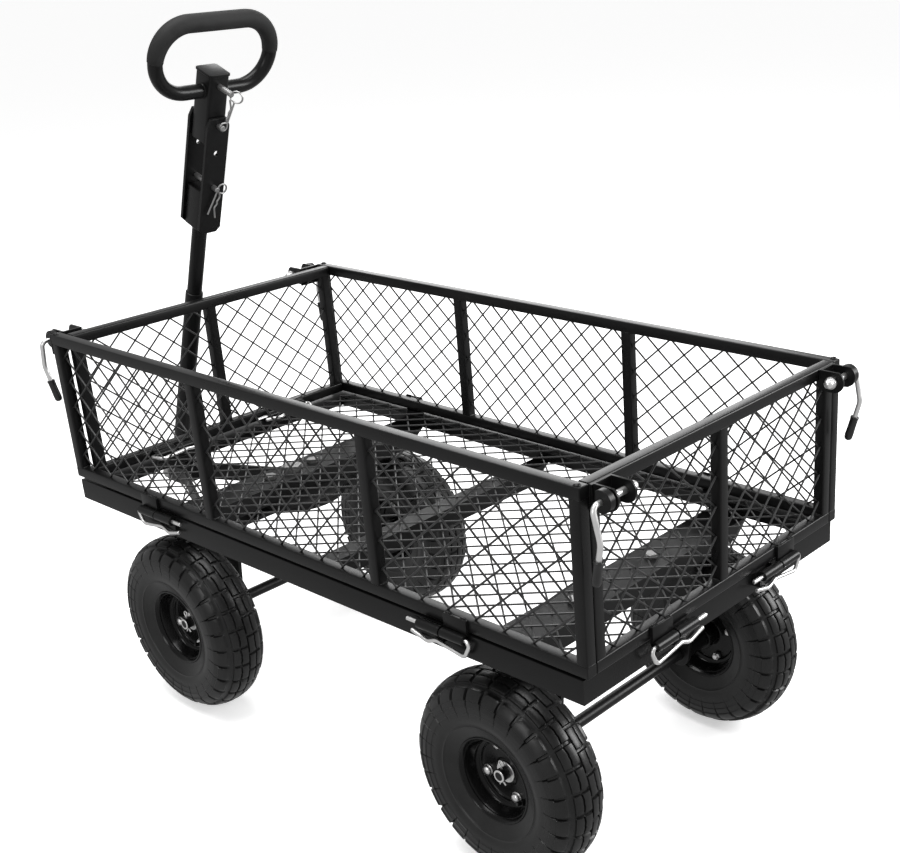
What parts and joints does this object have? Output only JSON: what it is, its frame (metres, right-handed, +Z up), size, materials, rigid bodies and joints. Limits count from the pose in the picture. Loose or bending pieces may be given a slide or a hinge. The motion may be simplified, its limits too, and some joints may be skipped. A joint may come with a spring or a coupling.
{
  "type": "garden cart",
  "caption": "Four-wheeled steel mesh garden cart with fold-down mesh sides, corner latches, a steered front axle and a pull handle with a foam loop grip.",
  "frame": {"origin": "centre of the overall box, on the ground between the wheels", "axes": "+X forward towards the pull handle, +Y to the left, +Z up; wheels rest on z = 0"},
  "size_m": [1.1564, 0.516, 0.9547],
  "materials": {
    "frame_paint": "semi-gloss black powder coat",
    "mesh_paint": "semi-gloss black powder coat on welded wire mesh",
    "rim_paint": "gloss black enamel",
    "tyre_rubber": "matte black rubber",
    "zinc": "bright zinc plate",
    "vinyl": "satin black dipped vinyl",
    "foam": "matte black foam"
  },
  "bodies": {
    "bed": {"bed_side_rails": "frame_paint", "bed_end_rails": "frame_paint", "cross_beams": "frame_paint", "floor_mesh": "mesh_paint", "bed_hinge_barrels": "frame_paint", "hinge_hairpins": "zinc", "upper_turntable_plate": "frame_paint", "kingpin": "zinc", "frame_bolts": "zinc", "rear_axle_bracket": "frame_paint", "rear_axle": "frame_paint", "rear_axle_retainers": "zinc"},
    "steering": {"lower_turntable_plate": "frame_paint", "front_axle_bracket": "frame_paint", "front_axle": "frame_paint", "front_axle_retainers": "zinc", "steering_arm_left": "frame_paint", "steering_arm_right": "frame_paint", "tongue_bolt": "zinc"},
    "handle": {"lower_shaft": "frame_paint", "upper_shaft": "frame_paint", "clevis_plates": "frame_paint", "clevis_pins": "zinc", "pin_clips": "zinc"},
    "handle_head": {"head_tube": "frame_paint", "handle_loop": "frame_paint", "foam_grip": "foam", "hitch_pin": "zinc", "hitch_pin_ring": "zinc"},
    "left_side": {"left_side_frame": "frame_paint", "left_side_mesh": "mesh_paint", "front_left_latch_bracket": "frame_paint"},
    "right_side": {"right_side_frame": "frame_paint", "right_side_mesh": "mesh_paint", "front_right_latch_bracket": "frame_paint"},
    "rear_gate": {"rear_gate_frame": "frame_paint", "rear_gate_mesh": "mesh_paint", "rear_latch_brackets": "frame_paint"},
    "front_gate": {"front_gate_frame": "frame_paint", "front_gate_mesh": "mesh_paint"},
    "front_left_wheel": {"front_left_tyre": "tyre_rubber", "front_left_rim": "rim_paint", "front_left_bolts": "zinc"},
    "front_left_latch": {"front_left_latch_lever": "zinc", "front_left_latch_grip": "vinyl"},
    "front_right_wheel": {"front_right_tyre": "tyre_rubber", "front_right_rim": "rim_paint", "front_right_bolts": "zinc"},
    "front_right_latch": {"front_right_latch_lever": "zinc", "front_right_latch_grip": "vinyl"},
    "rear_left_wheel": {"rear_left_tyre": "tyre_rubber", "rear_left_rim": "rim_paint", "rear_left_bolts": "zinc"},
    "rear_left_latch": {"rear_left_latch_lever": "zinc", "rear_left_latch_grip": "vinyl"},
    "rear_right_wheel": {"rear_right_tyre": "tyre_rubber", "rear_right_rim": "rim_paint", "rear_right_bolts": "zinc"},
    "rear_right_latch": {"rear_right_latch_lever": "zinc", "rear_right_latch_grip": "vinyl"}
  },
  "joints": [
    {"name": "steering_turn", "type": "hinge", "parent": "bed", "child": "steering", "pos_m": [0.25075, 0, 0.26], "axis": [0, 0, 1], "range_deg": [-20, 20]},
    {"name": "handle_hinge", "type": "hinge", "parent": "steering", "child": "handle", "pos_m": [0.56225, 0, 0.228], "axis": [0, 1, 0], "range_deg": [0, 115]},
    {"name": "head_fold", "type": "hinge", "parent": "handle", "child": "handle_head", "pos_m": [0.33282, 0, 0.81044], "axis": [0.9304, 0, 0.3665], "range_deg": [0, 105]},
    {"name": "left_side_fold", "type": "hinge", "parent": "bed", "child": "left_side", "pos_m": [-0.05825, 0.252, 0.322], "axis": [-1, 0, 0], "range_deg": [0, 165]},
    {"name": "right_side_fold", "type": "hinge", "parent": "bed", "child": "right_side", "pos_m": [-0.05825, -0.252, 0.322], "axis": [1, 0, 0], "range_deg": [0, 165]},
    {"name": "rear_gate_fold", "type": "hinge", "parent": "bed", "child": "rear_gate", "pos_m": [-0.55175, 0, 0.322], "axis": [0, -1, 0], "range_deg": [0, 165]},
    {"name": "front_gate_fold", "type": "hinge", "parent": "bed", "child": "front_gate", "pos_m": [0.38975, 0, 0.3344], "axis": [0, -1, 0], "range_deg": [0, 90]},
    {"name": "front_left_wheel_spin", "type": "hinge", "parent": "steering", "child": "front_left_wheel", "pos_m": [0.25075, 0.205, 0.13], "axis": [0, 1, 0], "continuous": true},
    {"name": "front_left_latch_turn", "type": "hinge", "parent": "left_side", "child": "front_left_latch", "pos_m": [0.44775, 0.249, 0.53], "axis": [0, -1, 0], "range_deg": [0, 90]},
    {"name": "front_right_wheel_spin", "type": "hinge", "parent": "steering", "child": "front_right_wheel", "pos_m": [0.25075, -0.205, 0.13], "axis": [0, 1, 0], "continuous": true},
    {"name": "front_right_latch_turn", "type": "hinge", "parent": "right_side", "child": "front_right_latch", "pos_m": [0.44775, -0.249, 0.53], "axis": [0, -1, 0], "range_deg": [0, 90]},
    {"name": "rear_left_wheel_spin", "type": "hinge", "parent": "bed", "child": "rear_left_wheel", "pos_m": [-0.37825, 0.205, 0.13], "axis": [0, 1, 0], "continuous": true},
    {"name": "rear_left_latch_turn", "type": "hinge", "parent": "rear_gate", "child": "rear_left_latch", "pos_m": [-0.56425, 0.249, 0.53], "axis": [0, 1, 0], "range_deg": [0, 90]},
    {"name": "rear_right_wheel_spin", "type": "hinge", "parent": "bed", "child": "rear_right_wheel", "pos_m": [-0.37825, -0.205, 0.13], "axis": [0, 1, 0], "continuous": true},
    {"name": "rear_right_latch_turn", "type": "hinge", "parent": "rear_gate", "child": "rear_right_latch", "pos_m": [-0.56425, -0.249, 0.53], "axis": [0, 1, 0], "range_deg": [0, 90]}
  ]
}
